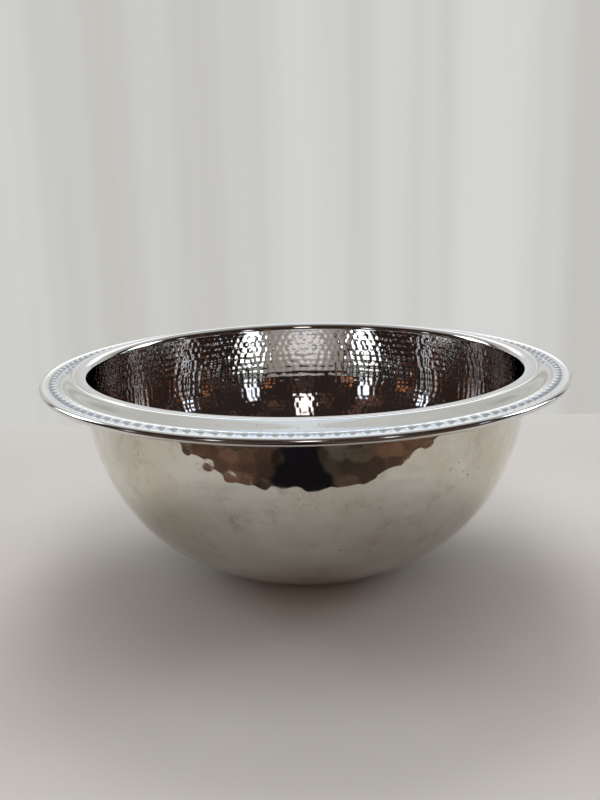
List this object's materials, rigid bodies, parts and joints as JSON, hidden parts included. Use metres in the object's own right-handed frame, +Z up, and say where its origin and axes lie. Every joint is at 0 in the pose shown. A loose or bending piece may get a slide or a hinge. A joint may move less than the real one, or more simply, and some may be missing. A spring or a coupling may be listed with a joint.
{
  "type": "hammered bowl",
  "caption": "Wide double-walled round metal serving bowl, hammered inside and out, with a turned-out brim, a row of raised beads and a rolled edge, on a flat base",
  "frame": {"origin": "middle of the flat base, on the surface that the bowl stands on", "axes": "+Z up along the bowl's axis of symmetry; X and Y are any two directions across it"},
  "size_m": [0.4059, 0.406, 0.162],
  "materials": {
    "liner_steel": "peened in small marks and mirror polished",
    "shell_steel": "planished in large shallow marks and mirror polished",
    "brim_steel": "mirror polished, with fine wear scratches",
    "wire_steel": "drawn wire, unpolished",
    "weld_steel": "rippled weld, brushed off",
    "plug_steel": "set rivet, satin"
  },
  "bodies": {
    "root": {"inner_bowl": "liner_steel", "outer_bowl": "shell_steel", "beaded_brim": "brim_steel", "rim_wire": "wire_steel", "seam_weld": "weld_steel", "vent_plug": "plug_steel"}
  },
  "joints": []
}
